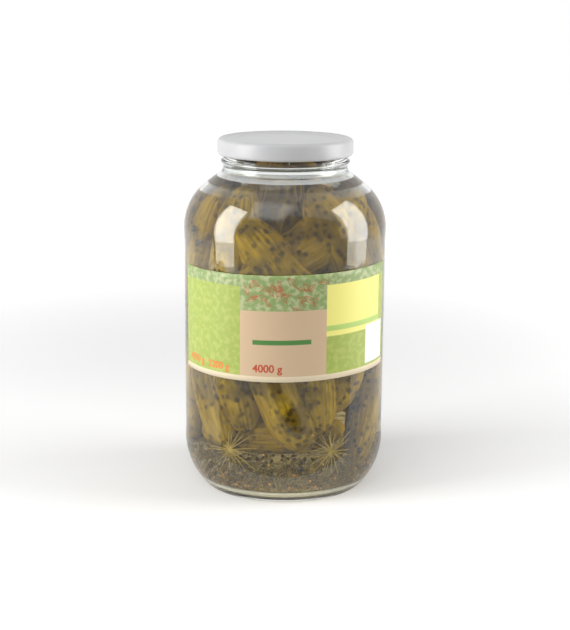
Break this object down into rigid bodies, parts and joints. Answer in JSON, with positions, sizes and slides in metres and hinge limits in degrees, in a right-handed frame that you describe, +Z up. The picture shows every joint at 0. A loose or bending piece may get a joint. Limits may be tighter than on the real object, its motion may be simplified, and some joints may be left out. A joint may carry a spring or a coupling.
{
  "type": "pickle jar",
  "caption": "Large round catering glass jar of whole pickled gherkins in brine, with a white steel twist-off lid and a paper label round its front.",
  "frame": {"origin": "middle of the base, on the surface that the jar stands on", "axes": "+Z up along the jar's axis, the label's middle towards -Y, +X to the right of the label as it is read"},
  "size_m": [0.1572, 0.1572, 0.2728],
  "materials": {
    "glass": "clear, faintly green flint glass",
    "lid": "white lacquered tinplate, satin",
    "label": "coated printed paper, satin",
    "brine": "clear, faintly olive brine",
    "gherkin": "wet olive cucumber skin with dark spots",
    "peppercorn": "wrinkled black peppercorn",
    "mustard_seed": "tan seed coat",
    "dill": "pickled dill stalk and frond",
    "root": "pale cut root"
  },
  "bodies": {
    "root": {"glass_jar": "glass", "lid": "lid", "label": "label", "brine": "brine"}
  },
  "joints": []
}
